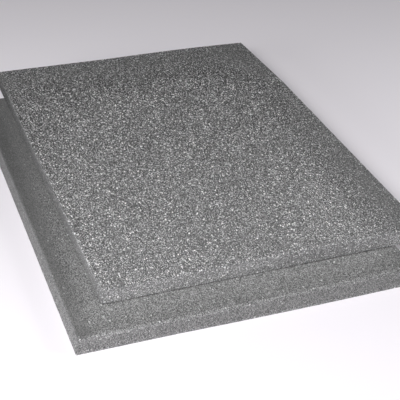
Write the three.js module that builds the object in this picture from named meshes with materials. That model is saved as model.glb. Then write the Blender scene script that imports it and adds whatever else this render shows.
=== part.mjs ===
// Two loose sheets of charcoal foam, stacked as a back protector pad.
// Lengths are millimetres and +Z is up. The origin is the middle of the lower
// sheet's underside, and +Y runs along the sheets, away from the viewer.

import * as THREE from 'three';

// Foam stock, and the size that each sheet is cut to by hand
const sheetThickness = 15;
const lowerWidth = 296.5;
const lowerLength = 400;
const upperWidth = 291;
const upperLength = 397;

// Softened edges and corners that a knife leaves in foam
const edgeRadius = 1.6;
const cornerRadius = 2.4;
const edgeSegments = 4;
const cornerSegments = 5;

// How the upper sheet lies on the lower one, middle over middle
const shiftRight = 26;
const shiftBack = 33.6;
const turnDegrees = 0.35;
const restGap = 0.3;

// Lean of the lower sheet's hand-cut sides, from foot to top. The front cut
// leans more towards its right end, and its foot bows out on the way there.
const leftCutLean = 2.3;
const frontCutLean = 0.8;
const frontCutEndLean = 3.8;
const frontFootBow = 1;
const leanGrowthStartShare = 0.3;
const leanStopCount = 6;

// The knife ran inwards over the last stretch of the upper sheet's right cut,
// and the back cut bows out over its right half
const backTrimIn = 4.8;
const backTrimLength = 108;
const backCutBow = 1.8;
const backBowStartShare = 0.45;
const backBowStops = 8;

const frontCutEnd = lowerWidth / 2 - cornerRadius;
const frontCutStart = -frontCutEnd;
const leanGrowthStart = THREE.MathUtils.lerp(frontCutStart, frontCutEnd, leanGrowthStartShare);

const foamMaterial = (name, color) => {
  const material = new THREE.MeshStandardMaterial({ color, roughness: 0.95, metalness: 0 });
  material.name = name;
  return material;
};
const coarseFoam = foamMaterial('coarse_foam', 0x7b7b7c);
const fineFoam = foamMaterial('fine_foam', 0x828282);

// Points of a back cut that bows out, from its right end to where the bow starts
function backBow(sheetWidth, sheetLength, endX) {
  const startX = THREE.MathUtils.lerp(-sheetWidth / 2, sheetWidth / 2, backBowStartShare);
  const points = [];
  for (let i = 1; i <= backBowStops; i += 1) {
    const share = i / backBowStops;
    const x = THREE.MathUtils.lerp(endX, startX, share);
    points.push(new THREE.Vector2(x, sheetLength / 2 + backCutBow * Math.sin(share * Math.PI)));
  }
  return points;
}

// Rectangle with rounded corners, its front side split at the given stops. A
// sheet trimmed at the back has its right cut run in and its back cut bow out.
function sheetOutline(sheetWidth, sheetLength, frontStops, trimIn) {
  const outline = new THREE.Shape();
  const front = -sheetLength / 2;
  const cornerX = sheetWidth / 2 - cornerRadius;
  const cornerY = sheetLength / 2 - cornerRadius;
  outline.moveTo(-cornerX, front);
  for (const stop of frontStops) {
    outline.lineTo(stop, front);
  }
  outline.lineTo(cornerX, front);
  outline.absarc(cornerX, -cornerY, cornerRadius, -Math.PI / 2, 0, false);
  if (trimIn > 0) outline.lineTo(sheetWidth / 2, sheetLength / 2 - backTrimLength);
  outline.absarc(cornerX - trimIn, cornerY, cornerRadius, 0, Math.PI / 2, false);
  if (trimIn > 0) {
    for (const point of backBow(sheetWidth, sheetLength, cornerX - trimIn)) {
      outline.lineTo(point.x, point.y);
    }
  }
  outline.absarc(-cornerX, cornerY, cornerRadius, Math.PI / 2, Math.PI, false);
  outline.absarc(-cornerX, -cornerY, cornerRadius, Math.PI, 1.5 * Math.PI, false);
  return outline;
}

// Slab of foam with flat faces, standing on z = 0, its edges softened
function sheetSlab(sheetWidth, sheetLength, { frontStops = [], trimIn = 0 }) {
  const outline = sheetOutline(sheetWidth, sheetLength, frontStops, trimIn);
  const slab = new THREE.ExtrudeGeometry(outline, {
    depth: sheetThickness - 2 * edgeRadius,
    bevelEnabled: true,
    bevelThickness: edgeRadius,
    bevelSize: edgeRadius,
    bevelOffset: -edgeRadius,
    bevelSegments: edgeSegments,
    curveSegments: cornerSegments,
  });
  slab.translate(0, 0, edgeRadius);
  return slab;
}

// Places along the front cut where its lean is set, as it grows to the right
function leanStops() {
  const stops = [];
  for (let i = 0; i < leanStopCount; i += 1) {
    stops.push(THREE.MathUtils.lerp(leanGrowthStart, frontCutEnd, i / leanStopCount));
  }
  return stops;
}

// Lean the left and front cuts in towards the top face, which stays flat
function leanCuts(slab) {
  const position = slab.getAttribute('position');
  for (let i = 0; i < position.count; i += 1) {
    const x = position.getX(i);
    const y = position.getY(i);
    const height = position.getZ(i) / sheetThickness;
    const onLeftCut = x < frontCutStart + cornerRadius;
    if (onLeftCut) position.setX(i, x + leftCutLean * height);
    const onFrontCut = y < 0;
    if (onFrontCut) {
      const share = THREE.MathUtils.clamp(
        THREE.MathUtils.inverseLerp(leanGrowthStart, frontCutEnd, x), 0, 1);
      const growth = THREE.MathUtils.smoothstep(share, 0, 1);
      const topIn = THREE.MathUtils.lerp(frontCutLean, frontCutEndLean, growth);
      const footOut = frontFootBow * Math.sin(share * Math.PI);
      position.setY(i, y + THREE.MathUtils.lerp(-footOut, topIn, height));
    }
  }
  slab.computeVertexNormals();
  return slab;
}

function lowerSheet() {
  const slab = leanCuts(sheetSlab(lowerWidth, lowerLength, { frontStops: leanStops() }));
  const mesh = new THREE.Mesh(slab, fineFoam);
  mesh.name = 'lower_foam_sheet';
  return mesh;
}

function upperSheet() {
  const slab = sheetSlab(upperWidth, upperLength, { trimIn: backTrimIn });
  const mesh = new THREE.Mesh(slab, coarseFoam);
  mesh.name = 'upper_foam_sheet';
  mesh.position.set(shiftRight, shiftBack, sheetThickness + restGap);
  mesh.rotation.z = THREE.MathUtils.degToRad(turnDegrees);
  return mesh;
}

const backProtectorPad = new THREE.Group();
backProtectorPad.add(lowerSheet(), upperSheet());

export default backProtectorPad;
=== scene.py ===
# %% [markdown]
# # Back protector pad: two loose sheets of charcoal foam
#
# Two flat sheets of open-cell foam lie on a white table. The lower one has fine
# cells. The upper one, slid a little to the right and to the back, has coarse
# cells with bright specks. Each sheet is one piece, cut from stock with a knife.
#
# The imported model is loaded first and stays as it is. The sheets modelled here have
# its sizes and places, and stand in for its two plain solids.

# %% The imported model
import math

import bmesh
import bpy
from mathutils import Matrix, Vector, noise


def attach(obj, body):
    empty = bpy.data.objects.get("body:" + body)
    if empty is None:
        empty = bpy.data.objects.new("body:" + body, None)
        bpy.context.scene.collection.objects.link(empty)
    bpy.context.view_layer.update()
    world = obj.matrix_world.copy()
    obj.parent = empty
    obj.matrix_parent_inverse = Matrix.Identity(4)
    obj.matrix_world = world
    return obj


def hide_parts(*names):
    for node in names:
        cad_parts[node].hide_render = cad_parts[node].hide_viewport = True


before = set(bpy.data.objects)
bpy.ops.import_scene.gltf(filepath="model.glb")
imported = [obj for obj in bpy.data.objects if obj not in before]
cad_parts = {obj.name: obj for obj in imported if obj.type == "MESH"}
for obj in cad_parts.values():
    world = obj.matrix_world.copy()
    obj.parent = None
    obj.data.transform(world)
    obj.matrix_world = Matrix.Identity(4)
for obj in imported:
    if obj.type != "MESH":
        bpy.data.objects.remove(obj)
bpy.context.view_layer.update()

mm = 0.001

# %% [markdown]
# ## Colours
#
# The Standard view shows a colour as it is written, which suits a plain product
# photo. A film-like view would grey the white table and lift the dark foam.

# %% Colours as they are written
scene = bpy.context.scene
scene.view_settings.view_transform = "Standard"
print("View:", scene.view_settings.view_transform)

# %% [markdown]
# ## Camera
#
# The photo was taken by hand from the left of the sheets' front edge, looking down.
# The four sides of both sheets run to two vanishing points, which fix the lens and
# the three angles. The place follows from where the corners lie.
#
# A turn about Z, then about X, then about the view line is the way a tripod head
# works, so each angle keeps a plain meaning.

# %% Camera
photo_pixels = 400
focal_pixels = 1027.5
sensor_width = 36.0
camera_place = Vector((-288.65, -774.9, 529.6)) * mm
camera_turn_right = math.radians(22.269)
camera_tilt_down = math.radians(33.170)
camera_roll = math.radians(2.991)
nearest_seen = 10 * mm

camera_data = bpy.data.cameras.new("camera")
camera_data.sensor_width = sensor_width
camera_data.lens = focal_pixels / photo_pixels * sensor_width
camera_data.clip_start = nearest_seen
camera = bpy.data.objects.new("camera", camera_data)
scene.collection.objects.link(camera)
camera.matrix_world = (
    Matrix.Translation(camera_place)
    @ Matrix.Rotation(-camera_turn_right, 4, "Z")
    @ Matrix.Rotation(math.pi / 2 - camera_tilt_down, 4, "X")
    @ Matrix.Rotation(camera_roll, 4, "Z")
)
scene.camera = camera
print("Lens in mm:", round(camera_data.lens, 2))

# %% [markdown]
# ## Shape of a sheet
#
# A sheet starts as a grid, because its faces need many small squares for the relief
# of the cells. The grid is extruded to the sheet's thickness, its walls are split
# into rows, and its rims are bevelled, as a knife leaves foam soft at the edge.
#
# A cube with a subdivision surface would be shorter, but it pulls the corners in
# and spends its faces evenly instead of where the rims need them.

# %% Sizes of the sheets
sheet_thickness = 15 * mm
lower_width = 296.5 * mm
lower_length = 400 * mm
upper_width = 291 * mm
upper_length = 397 * mm
upper_place = Vector((26, 33.6, 15.3)) * mm
upper_turn = math.radians(0.35)

grid_step = 1.72 * mm
wall_rows = 8
top_rim = 1.6 * mm
top_rim_segments = 4
foot_rim_segments = 2
round_profile = 0.5
sharp_edge_angle = math.radians(60)
foot_tolerance = 0.01 * mm
print("Squares along the lower sheet:", round(lower_length / grid_step))

# %% A sheet cut from stock


def split_walls(slab):
    """Cut the upright edges, so that the walls get rows of squares too."""
    upright = []
    for edge in slab.edges:
        low, high = sorted(vertex.co.z for vertex in edge.verts)
        if high - low > sheet_thickness / 2:
            upright.append(edge)
    bmesh.ops.subdivide_edges(slab, edges=upright, cuts=wall_rows - 1, use_grid_fill=True)


def soften_rim(slab, chosen, radius, segments):
    """Round the sharp edges that the test chooses."""
    sharp = []
    for edge in slab.edges:
        is_sharp = len(edge.link_faces) == 2 and edge.calc_face_angle() > sharp_edge_angle
        if is_sharp and chosen(edge):
            sharp.append(edge)
    bmesh.ops.bevel(
        slab,
        geom=sharp,
        offset=radius,
        offset_type="OFFSET",
        segments=segments,
        profile=round_profile,
        affect="EDGES",
        clamp_overlap=True,
        material=-1,
    )


def on_foot(edge):
    """Whether an edge lies in the sheet's underside."""
    return all(vertex.co.z < foot_tolerance for vertex in edge.verts)


def cut_sheet(width, length, foot_rim):
    """A unit square scaled to the sheet and raised from z = 0, with soft rims."""
    slab = bmesh.new()
    bmesh.ops.create_grid(
        slab,
        x_segments=round(width / grid_step),
        y_segments=round(length / grid_step),
        size=0.5,
    )
    bmesh.ops.scale(slab, vec=(width, length, 1), verts=slab.verts)
    raised = bmesh.ops.extrude_face_region(slab, geom=slab.faces[:])
    top = [item for item in raised["geom"] if isinstance(item, bmesh.types.BMVert)]
    bmesh.ops.translate(slab, vec=(0, 0, sheet_thickness), verts=top)
    bmesh.ops.recalc_face_normals(slab, faces=slab.faces)
    split_walls(slab)
    soften_rim(slab, on_foot, foot_rim, foot_rim_segments)
    soften_rim(slab, lambda edge: True, top_rim, top_rim_segments)
    return slab


print("Segments round a rim:", top_rim_segments, "above and", foot_rim_segments, "below")

# %% [markdown]
# ## Cuts made by hand
#
# The lower sheet was cut with the knife held a little off upright. Its left cut
# leans in by about 2 mm from foot to top, and its front cut by 1 mm at the left and
# by 4 mm at the right. The front cut's foot bows out by 1 mm on the way there. On
# the upper sheet the knife ran in by 5 mm over the last stretch of the right cut,
# and the back cut bows out by 2 mm over its right half.
#
# These moves are shared out over the whole width and length, so the squares of the
# grid stay even.

# %% Hand cuts
left_cut_lean = 2.3 * mm
front_cut_lean = 0.8 * mm
front_cut_end_lean = 3.8 * mm
front_foot_bow = 1 * mm
lean_growth_start_share = 0.3

back_trim_in = 4.8 * mm
back_trim_length = 108 * mm
back_cut_bow = 1.8 * mm
back_bow_start_share = 0.45


def lerp(start, end, share):
    return start + (end - start) * share


def even_share(value, start, end):
    """0 before start, 1 after end, and an even rise between them."""
    return min(max((value - start) / (end - start), 0), 1)


def smooth_share(value, start, end):
    """0 before start, 1 after end, and a smooth rise between them."""
    share = even_share(value, start, end)
    return share * share * (3 - 2 * share)


def lean_cuts(slab):
    """Lean the left and front cuts in towards the top face."""
    growth_start = lerp(-lower_width / 2, lower_width / 2, lean_growth_start_share)
    for vertex in slab.verts:
        x, y, z = vertex.co
        height = z / sheet_thickness
        near_left = 0.5 - x / lower_width
        near_front = 0.5 - y / lower_length
        way_right = even_share(x, growth_start, lower_width / 2)
        top_in = lerp(front_cut_lean, front_cut_end_lean, smooth_share(way_right, 0, 1))
        foot_out = front_foot_bow * math.sin(way_right * math.pi)
        vertex.co.x += left_cut_lean * height * near_left
        vertex.co.y += lerp(-foot_out, top_in, height) * near_front


def trim_back_right(slab):
    """Run the right cut in towards the back, and bow the back cut out."""
    bow_start = lerp(-upper_width / 2, upper_width / 2, back_bow_start_share)
    for vertex in slab.verts:
        x, y, z = vertex.co
        near_right = 0.5 + x / upper_width
        near_back = 0.5 + y / upper_length
        way_back = even_share(y, upper_length / 2 - back_trim_length, upper_length / 2)
        way_right = even_share(x, bow_start, upper_width / 2)
        vertex.co.x -= back_trim_in * way_back * near_right
        vertex.co.y += back_cut_bow * math.sin(way_right * math.pi) * near_back


left_cut_angle = math.degrees(math.atan2(left_cut_lean, sheet_thickness))
print("Lean of the left cut in degrees:", round(left_cut_angle, 1))

# %% [markdown]
# ## Relief of the cells
#
# Cut foam has no smooth skin: the knife opens its cells, and the surface is a field
# of small pits. Pits as small as the real ones need millions of faces, so the mesh
# holds the larger ones, with a slow wave over them from the cutting. The material
# adds the single cells.
#
# The pits and the wave only go inwards, so they add nothing to a sheet's reach.

# %% Relief
wave_size = 55 * mm
pit_wall_distance = 0.9
grain_shift = Vector((3.1, 7.7, 1.3))


def pit_share(place, pit_size):
    """1 in the middle of a pit, falling to 0 on the walls between pits."""
    nearest = noise.voronoi(place / pit_size + grain_shift)[0][0]
    return max(0, 1 - nearest / pit_wall_distance)


def press_relief(slab, pit_size, pit_depth, wave_depth):
    """Move each vertex inwards, by the pits and by the slow wave."""
    slab.normal_update()
    inward = []
    for vertex in slab.verts:
        wave = 0.5 + 0.5 * noise.noise(vertex.co / wave_size + grain_shift)
        depth = pit_depth * pit_share(vertex.co, pit_size) + wave_depth * wave
        inward.append(vertex.normal * -depth)
    for vertex, move in zip(slab.verts, inward):
        vertex.co += move


print("Wave from the cutting, length in mm:", round(wave_size / mm))

# %% [markdown]
# ## Painted light and shade near the edges
#
# The open borders of both sheets are painted darker than their middles, as painted
# shade. The lower sheet has it along its left cut and more and more towards the back,
# and the upper one along its right and back cuts, while its front stretch is painted
# a little lighter. The cuts get painted shade too, and the upper sheet's front cut
# painted light. The rims between the flat faces and the cuts are paler or darker than
# both: a painted highlight, or painted shade. The foot of a cut is paler on the lower
# sheet, as painted light from the white table. On the upper sheet it is a painted
# contact shadow, a thin dark line where the two meet, along the front cut and the
# front stretch of the left one, and it turns paler towards the back.
#
# A point attribute holds the painted light and shade that a point's place between the edges gives it.
# The material reads it, so the shading follows the sheet and not the view. Each side
# has a strength at its start and one at its end, and borders and feet a reach too.

# %% Painted light and shade near the edges, as an attribute
painted_tone_attribute = "painted_edge_tone"
border_start_share = 0.12
rim_reach = 3.6 * mm
rim_start_share = 0.3


def distances_inwards(place, width, length):
    """How far a point lies inside each side of a sheet."""
    return {
        "left": max(width / 2 + place.x, 0),
        "right": max(width / 2 - place.x, 0),
        "front": max(length / 2 + place.y, 0),
        "back": max(length / 2 - place.y, 0),
    }


def ways_along(place, width, length):
    """How far along each side a point lies, from left to right or from front to back."""
    way_right = 0.5 + place.x / width
    way_back = 0.5 + place.y / length
    return {"left": way_back, "right": way_back, "front": way_right, "back": way_right}


def painted_edge_tone(place, width, length, cut_depth, borders, cuts, rims, feet):
    """Painted light and shade of a point. Each strength changes from the start of its side to the end."""
    inwards = distances_inwards(place, width, length)
    along = ways_along(place, width, length)
    below_top = sheet_thickness - place.z
    on_cut = smooth_share(below_top, 0, cut_depth)
    tone = 1
    # Borders: painted shade on the flat faces, or painted light where a strength is below 0
    for side, (start_strength, end_strength, reach) in borders.items():
        depth = 1 - smooth_share(inwards[side], border_start_share * reach, reach)
        tone *= 1 - lerp(start_strength, end_strength, along[side]) * depth * (1 - on_cut)
    # Cuts: painted shade on the cut faces, or painted light where a strength is below 0
    for side, (start_strength, end_strength) in cuts.items():
        nearness = 1 - smooth_share(inwards[side], 0, rim_reach)
        tone *= 1 - lerp(start_strength, end_strength, along[side]) * nearness * on_cut
    # Rims: a painted highlight, or painted shade where a strength is below 0
    for side, (start_strength, end_strength) in rims.items():
        nearness = 1 - smooth_share(inwards[side] + below_top, rim_start_share * rim_reach, rim_reach)
        tone += lerp(start_strength, end_strength, along[side]) * nearness
    # Feet: painted light from the table, or a painted contact shadow where a strength is below 0
    for side, (start_strength, end_strength, reach) in feet.items():
        nearness = 1 - smooth_share(inwards[side], 0, rim_reach)
        strength = lerp(start_strength, end_strength, along[side])
        tone *= 1 + strength * nearness * (1 - smooth_share(place.z, 0, reach))
    return tone


def paint_edge_light(slab, width, length, cut_depth, borders, cuts, rims, feet):
    """Store each point's painted light and shade. A cut's own painted tone is full at cut_depth under the
    top face.
    """
    layer = slab.verts.layers.float.new(painted_tone_attribute)
    for vertex in slab.verts:
        vertex[layer] = painted_edge_tone(vertex.co, width, length, cut_depth, borders, cuts, rims, feet)


print("Reach of a rim in mm:", round(rim_reach / mm, 1))

# %% [markdown]
# ## Shared cells
#
# Both foams have the same structure at different sizes: small cells with random
# tones, thin paler walls and openings in painted shade. Over them lie larger cells,
# paler in the middle than at the rim. Here and there one of these is closed by a film
# painted pale as a glint, with a dark hollow round it. One node group makes all of
# this from Voronoi cells in space, so a pattern runs on round an edge as in real foam.
#
# The larger cells sit a little more evenly than chance would have them. Foam bubbles
# push each other apart, and fully random ones look blotchy from a step away.

# %% Helpers for nodes


def new_group(name, inputs, outputs):
    """A shader node group with its named sockets. Returns the group and its two end nodes."""
    group = bpy.data.node_groups.new(name, "ShaderNodeTree")
    for label, kind in inputs.items():
        group.interface.new_socket(label, in_out="INPUT", socket_type=kind)
    for label, kind in outputs.items():
        group.interface.new_socket(label, in_out="OUTPUT", socket_type=kind)
    return group, group.nodes.new("NodeGroupInput"), group.nodes.new("NodeGroupOutput")


def feed(tree, socket, item):
    """Link a node's output to an input socket, or set the socket to a plain value."""
    if isinstance(item, bpy.types.NodeSocket):
        tree.links.new(item, socket)
    else:
        socket.default_value = item


def math_node(tree, operation, *values):
    """A Math node whose inputs are numbers or sockets. Returns its output."""
    node = tree.nodes.new("ShaderNodeMath")
    node.operation = operation
    for socket, value in zip(node.inputs, values):
        feed(tree, socket, value)
    return node.outputs[0]


def ramp_node(tree, value, start, end, low=0.0, high=1.0, smooth=True):
    """A Map Range node from start..end to low..high. Returns its output."""
    node = tree.nodes.new("ShaderNodeMapRange")
    node.interpolation_type = "SMOOTHSTEP" if smooth else "LINEAR"
    items = {"Value": value, "From Min": start, "From Max": end, "To Min": low, "To Max": high}
    for label, item in items.items():
        feed(tree, node.inputs[label], item)
    return node.outputs["Result"]


def colour_node(tree, blend, share, first, second):
    """A Mix node for two colours, kept between black and white. Returns its output."""
    node = tree.nodes.new("ShaderNodeMix")
    node.data_type = "RGBA"
    node.blend_type = blend
    node.clamp_result = True
    sockets = {socket.identifier: socket for socket in node.inputs}
    items = {"Factor_Float": share, "A_Color": first, "B_Color": second}
    for label, item in items.items():
        feed(tree, sockets[label], item)
    return {socket.identifier: socket for socket in node.outputs}["Result_Color"]


def split_node(tree, vector):
    """The three parts of a vector or colour, as outputs X, Y and Z."""
    node = tree.nodes.new("ShaderNodeSeparateXYZ")
    tree.links.new(vector, node.inputs[0])
    return node.outputs


def place_in_cells(tree, place, cell_size):
    """A place in space, counted in cells along each axis."""
    node = tree.nodes.new("ShaderNodeVectorMath")
    node.operation = "DIVIDE"
    tree.links.new(place, node.inputs[0])
    tree.links.new(cell_size, node.inputs[1])
    return node.outputs[0]


def cells_node(tree, place, feature="F1"):
    """A 3-D Voronoi texture at one cell a unit."""
    node = tree.nodes.new("ShaderNodeTexVoronoi")
    node.feature = feature
    node.inputs["Scale"].default_value = 1
    tree.links.new(place, node.inputs["Vector"])
    return node


print("Node helpers are ready")

# %% Open cells
# Distances from a cell's walls, in cells
opening_start = 0.05
opening_full = 0.4
wall_reach = 0.35

# Distances from a large cell's middle, in cells
swell_start = 0.15
swell_end = 0.7
film_start = 0.5
film_end = 0.72

# How unevenly the large cells sit, how strong the faintest film is, and how dark
# the hollow round a film is
large_cell_randomness = 0.65
weakest_film = 0.5
hollow_shade = 0.4


def make_cell_group():
    """Tone, film and height of open-cell foam."""
    group, start, end = new_group(
        "open_cells",
        inputs={
            "Place": "NodeSocketVector",
            "Cell size": "NodeSocketVector",
            "Tone spread": "NodeSocketFloat",
            "Tone power": "NodeSocketFloat",
            "Pore shade": "NodeSocketFloat",
            "Large cell size": "NodeSocketVector",
            "Large cell swell": "NodeSocketFloat",
            "Film share": "NodeSocketFloat",
        },
        outputs={
            "Tone": "NodeSocketFloat",
            "Film": "NodeSocketFloat",
            "Height": "NodeSocketFloat",
        },
    )
    inputs = start.outputs
    place = place_in_cells(group, inputs["Place"], inputs["Cell size"])
    cells = cells_node(group, place)
    walls = cells_node(group, place, "DISTANCE_TO_EDGE")
    chance = split_node(group, cells.outputs["Color"])["X"]

    power = inputs["Tone power"]
    skewed = math_node(group, "POWER", chance, power)
    mean = math_node(group, "DIVIDE", 1.0, math_node(group, "ADD", power, 1.0))
    offset = math_node(group, "SUBTRACT", skewed, mean)
    cell_tone = math_node(group, "MULTIPLY_ADD", offset, inputs["Tone spread"], 1.0)

    opening = ramp_node(group, walls.outputs["Distance"], opening_start, opening_full)
    shade = math_node(group, "MULTIPLY", opening, inputs["Pore shade"])
    tone = math_node(group, "MULTIPLY", cell_tone, math_node(group, "SUBTRACT", 1.0, shade))

    large_place = place_in_cells(group, inputs["Place"], inputs["Large cell size"])
    large_cells = cells_node(group, large_place)
    large_cells.inputs["Randomness"].default_value = large_cell_randomness
    from_middle = large_cells.outputs["Distance"]
    swell = ramp_node(group, from_middle, swell_start, swell_end, 1.0, -1.0)
    swell_tone = math_node(group, "MULTIPLY_ADD", swell, inputs["Large cell swell"], 1.0)
    tone = math_node(group, "MULTIPLY", tone, swell_tone)

    film_chance = split_node(group, large_cells.outputs["Color"])["X"]
    first_film = math_node(group, "SUBTRACT", 1.0, inputs["Film share"])
    film_strength = ramp_node(group, film_chance, first_film, 1.0, smooth=False)
    has_film = math_node(group, "GREATER_THAN", film_chance, first_film)
    film_shape = ramp_node(group, from_middle, film_start, film_end, 1.0, 0.0)
    film_weight = math_node(group, "MULTIPLY_ADD", film_strength, 1 - weakest_film, weakest_film)
    film_weight = math_node(group, "MULTIPLY", has_film, film_weight)
    film = math_node(group, "MULTIPLY", film_weight, film_shape)
    group.links.new(film, end.inputs["Film"])
    hollow = math_node(group, "SUBTRACT", film_weight, film)
    hollow_tone = math_node(group, "MULTIPLY_ADD", hollow, -hollow_shade, 1.0)
    group.links.new(math_node(group, "MULTIPLY", tone, hollow_tone), end.inputs["Tone"])

    depth = ramp_node(group, walls.outputs["Distance"], 0.0, wall_reach, 1.0, 0.0)
    group.links.new(depth, end.inputs["Height"])
    return group


cell_group = make_cell_group()
print("Nodes in the cell group:", len(cell_group.nodes))

# %% [markdown]
# ## Foam material
#
# Foam is matt all through, so its look is nearly all in the tone of its cells. The
# base colour is the charcoal of the stock times the cells' tone, a slow mottle and
# the painted light and shade near the edges. The films are painted pale as a glint,
# and they are smoother, so they catch the lamps. The coarse foam is calmer on its
# cuts, and its cells and films stand out more and more towards the back. Where
# painted shade darkens the foam, the cells stand out less.

# %% Foam materials
foam_roughness = 0.95
film_roughness = 0.45

# How level a cut and a flat face are, by the upright part of their normals
cut_flatness = 0.3
face_flatness = 0.8

# Painted edge tones at which the cells are calmest and fully lively, and how lively cells in deep painted
# shade are
deep_painted_shade = 0.6
faint_painted_shade = 0.85
painted_shade_calm = 0.5

mottle_size = 9 * mm
mottle_detail = 2
mottle_low = 0.25
mottle_high = 0.75


def cell_liveliness(tree, normal, painted_edge_light, cut_calm):
    """1 on a flat face free of painted shade, and less on the cuts and where painted shade darkens the
    foam.
    """
    flatness = math_node(tree, "ABSOLUTE", split_node(tree, normal)["Z"])
    flat = ramp_node(tree, flatness, cut_flatness, face_flatness, cut_calm, 1.0)
    in_painted_shade = ramp_node(tree, painted_edge_light, deep_painted_shade, faint_painted_shade, painted_shade_calm, 1.0)
    return math_node(tree, "MULTIPLY", flat, in_painted_shade)


def gain_towards_back(tree, place, front_gain, back_gain):
    """A number that changes evenly along the upper sheet's length."""
    along = split_node(tree, place)["Y"]
    ends = (-upper_length / 2, upper_length / 2)
    return ramp_node(tree, along, *ends, front_gain, back_gain, smooth=False)


def slow_mottle(tree, place, mottle):
    """A tone that drifts by the mottle, up and down."""
    cloud = tree.nodes.new("ShaderNodeTexNoise")
    cloud.inputs["Scale"].default_value = 1 / mottle_size
    cloud.inputs["Detail"].default_value = mottle_detail
    tree.links.new(place, cloud.inputs["Vector"])
    return ramp_node(tree, cloud.outputs[0], mottle_low, mottle_high, 1 - mottle, 1 + mottle, smooth=False)


def foam_cells(tree, place, cell_values, liveliness, gain):
    """The shared cells at one foam's sizes. The gain also brings out more films."""
    cells = tree.nodes.new("ShaderNodeGroup")
    cells.node_tree = cell_group
    tree.links.new(place, cells.inputs["Place"])
    for label, value in cell_values.items():
        cells.inputs[label].default_value = value
    lively_gain = math_node(tree, "MULTIPLY", liveliness, gain)
    film_gain = math_node(tree, "MULTIPLY", gain, gain)
    driven = {"Tone spread": lively_gain, "Large cell swell": lively_gain, "Film share": film_gain}
    for label, strength in driven.items():
        tree.links.new(math_node(tree, "MULTIPLY", strength, cell_values[label]), cells.inputs[label])
    return cells.outputs


def add_bump(tree, surface, height, depth):
    """Bump from the single cells, which are smaller than the mesh's squares."""
    bump = tree.nodes.new("ShaderNodeBump")
    bump.inputs["Strength"].default_value = 1
    bump.inputs["Distance"].default_value = depth
    tree.links.new(height, bump.inputs["Height"])
    tree.links.new(bump.outputs["Normal"], surface.inputs["Normal"])


def foam_material(name, colour, painted_glint_colour, cell_values, cut_calm, gains, mottle, bump_depth):
    """Matt foam from the shared cells, calmer on the cuts. The gains are for front and back."""
    material = bpy.data.materials.new(name)
    material.use_nodes = True
    tree = material.node_tree
    surface = tree.nodes["Principled BSDF"]
    coordinates = tree.nodes.new("ShaderNodeTexCoord")
    place = coordinates.outputs["Object"]
    edge = tree.nodes.new("ShaderNodeAttribute")
    edge.attribute_name = painted_tone_attribute
    painted_edge_light = edge.outputs["Fac"]

    liveliness = cell_liveliness(tree, coordinates.outputs["Normal"], painted_edge_light, cut_calm)
    gain = gain_towards_back(tree, place, *gains)
    cells = foam_cells(tree, place, cell_values, liveliness, gain)
    film = math_node(tree, "MULTIPLY", liveliness, cells["Film"])
    tone = math_node(tree, "MULTIPLY", cells["Tone"], slow_mottle(tree, place, mottle))

    body = colour_node(tree, "MULTIPLY", 1, colour, tone)
    # The films take a painted glint colour
    body = colour_node(tree, "MIX", film, body, painted_glint_colour)
    # Painted light and shade near the edges
    body = colour_node(tree, "MULTIPLY", 1, body, painted_edge_light)
    tree.links.new(body, surface.inputs["Base Color"])
    rough = ramp_node(tree, film, 0.0, 1.0, foam_roughness, film_roughness, smooth=False)
    tree.links.new(rough, surface.inputs["Roughness"])
    add_bump(tree, surface, cells["Height"], bump_depth)
    return material


fine_foam = foam_material(
    "fine_cell_foam",
    colour=(0.243, 0.243, 0.243, 1),
    painted_glint_colour=(0.7, 0.7, 0.7, 1),
    cell_values={
        "Cell size": Vector((0.45, 0.85, 0.55)) * mm,
        "Tone spread": 1.6,
        "Tone power": 1.3,
        "Pore shade": 0.2,
        "Large cell size": Vector((1.2, 1.8, 1.2)) * mm,
        "Large cell swell": 0.28,
        "Film share": 0.007,
    },
    cut_calm=1.0,
    gains=(1.0, 1.0),
    mottle=0.03,
    bump_depth=0.05 * mm,
)
# The top face cuts the coarse foam's large cells through their middles
coarse_layers_to_top = 22.5
coarse_layer_height = (upper_place.z + sheet_thickness) / coarse_layers_to_top
coarse_foam = foam_material(
    "coarse_cell_foam",
    colour=(0.311, 0.311, 0.314, 1),
    painted_glint_colour=(1, 1, 1, 1),
    cell_values={
        "Cell size": Vector((0.5, 0.8, 0.5)) * mm,
        "Tone spread": 4.8,
        "Tone power": 8.0,
        "Pore shade": 0.4,
        "Large cell size": Vector((1.35 * mm, 2.0 * mm, coarse_layer_height)),
        "Large cell swell": 0.65,
        "Film share": 0.032,
    },
    cut_calm=0.75,
    gains=(0.75, 1.45),
    mottle=0.02,
    bump_depth=0.1 * mm,
)
print("Materials:", fine_foam.name, coarse_foam.name)

# %% [markdown]
# ## The two sheets
#
# Each sheet becomes one object whose mesh lies where the imported solid lies. It rides
# on the same body, so it lifts off with it.

# %% Pieces from the sheets


def finish_sheet(slab, name, material, body, node):
    """Make the sheet's object, smooth-shaded, and hide the solid it stands for."""
    mesh = bpy.data.meshes.new(name)
    slab.to_mesh(mesh)
    slab.free()
    mesh.shade_smooth()
    mesh.materials.append(material)
    sheet = bpy.data.objects.new(name, mesh)
    scene.collection.objects.link(sheet)
    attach(sheet, body)
    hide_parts(node)
    mesh.calc_loop_triangles()
    print(name, "triangles:", len(mesh.loop_triangles))


# %% Lower sheet
lower_slab = cut_sheet(lower_width, lower_length, foot_rim=0.3 * mm)
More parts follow.
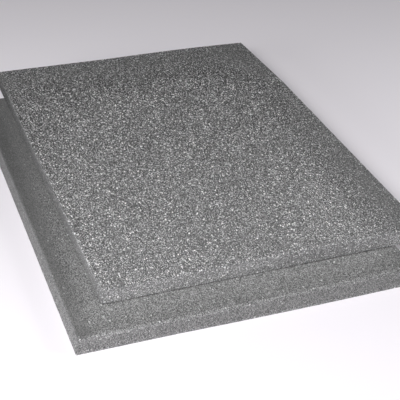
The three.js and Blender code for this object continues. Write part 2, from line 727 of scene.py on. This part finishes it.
# Painted shade on the borders and cuts, a painted highlight on the front rim, and painted light from the
# table at the feet
paint_edge_light(
    lower_slab,
    lower_width,
    lower_length,
    cut_depth=3 * mm,
    borders={
        "left": (0.3, 0.3, 22 * mm),
        "front": (0.15, 0.15, 24 * mm),
        "back": (0.36, 0.36, 400 * mm),
        "right": (0.2, 0.2, 26 * mm),
    },
    cuts={"left": (0.18, 0.48), "front": (0.15, 0.27), "back": (0.2, 0.2), "right": (0.2, 0.2)},
    rims={"front": (0.24, 0.05)},
    feet={"left": (0.28, 0.28, 4 * mm), "front": (0.3, 0.3, 4 * mm)},
)
lean_cuts(lower_slab)
press_relief(lower_slab, pit_size=3.2 * mm, pit_depth=0.12 * mm, wave_depth=0.15 * mm)
finish_sheet(
    lower_slab,
    "fine_cell_sheet",
    fine_foam,
    body="lower_sheet",
    node="lower_foam_sheet",
)

# %% Upper sheet
upper_slab = cut_sheet(upper_width, upper_length, foot_rim=0.6 * mm)
# Painted shade on the borders and cuts, painted light on the front border and front cut, painted
# highlights and shade on the rims, and a painted contact shadow at the feet
paint_edge_light(
    upper_slab,
    upper_width,
    upper_length,
    cut_depth=4.3 * mm,
    borders={
        "left": (0.05, 0.05, 26 * mm),
        "front": (-0.04, -0.04, 130 * mm),
        "back": (0.3, 0.3, 120 * mm),
        "right": (0.38, 0.2, 62 * mm),
    },
    cuts={"left": (0.24, 0.77), "front": (-0.12, -0.08), "back": (0.1, 0.1), "right": (0.1, 0.1)},
    rims={"left": (0.06, -0.24), "front": (-0.1, 0.12), "back": (0.05, 0.18), "right": (0.18, 0.18)},
    feet={"left": (-0.35, 0.15, 2.5 * mm), "front": (-0.35, -0.35, 1.3 * mm)},
)
trim_back_right(upper_slab)
press_relief(upper_slab, pit_size=3.4 * mm, pit_depth=0.16 * mm, wave_depth=0.15 * mm)
turn = Matrix.Rotation(upper_turn, 3, "Z")
bmesh.ops.rotate(upper_slab, cent=(0, 0, 0), matrix=turn, verts=upper_slab.verts)
bmesh.ops.translate(upper_slab, vec=upper_place, verts=upper_slab.verts)
finish_sheet(
    upper_slab,
    "coarse_cell_sheet",
    coarse_foam,
    body="upper_sheet",
    node="upper_foam_sheet",
)

# %% [markdown]
# ## Table
#
# The sheets lie on a plain white surface that fills the photo, with a trace of
# violet in it. A large plane does for it. Past the reach of the lamps, and beyond
# what the photo shows, the camera sees the plane and the air over it evenly pale.

# %% Table
table_half = 6.0
table_colour = (0.955, 0.92, 0.97, 1)
table_roughness = 0.9
far_colour = (0.8, 0.78, 0.81, 1)
far_start = 0.6
far_end = 1.1


def fade_to_pale(tree, surface):
    """Show the far table to the camera in an even pale colour."""
    place = tree.nodes.new("ShaderNodeTexCoord").outputs["Object"]
    reach = tree.nodes.new("ShaderNodeVectorMath")
    reach.operation = "LENGTH"
    tree.links.new(place, reach.inputs[0])
    far = ramp_node(tree, reach.outputs["Value"], far_start, far_end)
    seen = tree.nodes.new("ShaderNodeLightPath").outputs["Is Camera Ray"]
    pale = tree.nodes.new("ShaderNodeEmission")
    pale.inputs["Color"].default_value = far_colour
    mix = tree.nodes.new("ShaderNodeMixShader")
    tree.links.new(math_node(tree, "MULTIPLY", far, seen), mix.inputs["Fac"])
    tree.links.new(surface.outputs["BSDF"], mix.inputs[1])
    tree.links.new(pale.outputs["Emission"], mix.inputs[2])
    tree.links.new(mix.outputs["Shader"], tree.nodes["Material Output"].inputs["Surface"])


def make_table():
    """The white surface under the sheets."""
    plane = bmesh.new()
    bmesh.ops.create_grid(plane, x_segments=1, y_segments=1, size=table_half)
    mesh = bpy.data.meshes.new("table")
    plane.to_mesh(mesh)
    plane.free()
    material = bpy.data.materials.new("white_table")
    material.use_nodes = True
    tree = material.node_tree
    surface = tree.nodes["Principled BSDF"]
    surface.inputs["Base Color"].default_value = table_colour
    surface.inputs["Roughness"].default_value = table_roughness
    surface.inputs["Specular IOR Level"].default_value = 0
    fade_to_pale(tree, surface)
    mesh.materials.append(material)
    table = bpy.data.objects.new("table", mesh)
    scene.collection.objects.link(table)


make_table()
print("Table side in m:", 2 * table_half)

# %% [markdown]
# ## Light
#
# The left cuts are the brightest faces, the front cuts come next, the table fades
# from front to back, and the sheets throw almost no shadow. So a soft lamp stands in
# front and to the left, a low one fills from the left and another from the right.
# Pale air lifts the sides that face away from all three.

# %% Lamps
lamp_distance = 1.3
lamp_side = 0.5


def soft_lamp(name, turn, height, power):
    """A square lamp facing the sheets: turn from +X and height over the table, in degrees."""
    data = bpy.data.lights.new(name, "AREA")
    data.shape = "SQUARE"
    data.size = lamp_side
    data.energy = power
    lamp = bpy.data.objects.new(name, data)
    target = Vector((0, 0, sheet_thickness))
    level = math.cos(math.radians(height))
    aside = Vector((
        math.cos(math.radians(turn)) * level,
        math.sin(math.radians(turn)) * level,
        math.sin(math.radians(height)),
    ))
    facing = aside.to_track_quat("Z", "Y").to_matrix().to_4x4()
    lamp.matrix_world = Matrix.Translation(target + aside * lamp_distance) @ facing
    lamp.visible_camera = False
    scene.collection.objects.link(lamp)


soft_lamp("front_lamp", turn=230, height=40, power=14.5)
soft_lamp("left_lamp", turn=200, height=12, power=6.8)
soft_lamp("right_lamp", turn=330, height=25, power=6.1)


def make_air(strength):
    """A world that lights evenly, and that the camera sees in the far table's colour."""
    world = bpy.data.worlds.new("pale_air")
    world.use_nodes = True
    tree = world.node_tree
    light = tree.nodes["Background"]
    light.inputs["Color"].default_value = (1, 1, 1, 1)
    light.inputs["Strength"].default_value = strength
    backdrop = tree.nodes.new("ShaderNodeBackground")
    backdrop.inputs["Color"].default_value = far_colour
    seen = tree.nodes.new("ShaderNodeLightPath").outputs["Is Camera Ray"]
    mix = tree.nodes.new("ShaderNodeMixShader")
    tree.links.new(seen, mix.inputs["Fac"])
    tree.links.new(light.outputs["Background"], mix.inputs[1])
    tree.links.new(backdrop.outputs["Background"], mix.inputs[2])
    tree.links.new(mix.outputs["Shader"], tree.nodes["World Output"].inputs["Surface"])
    return world


scene.world = make_air(strength=0.1)
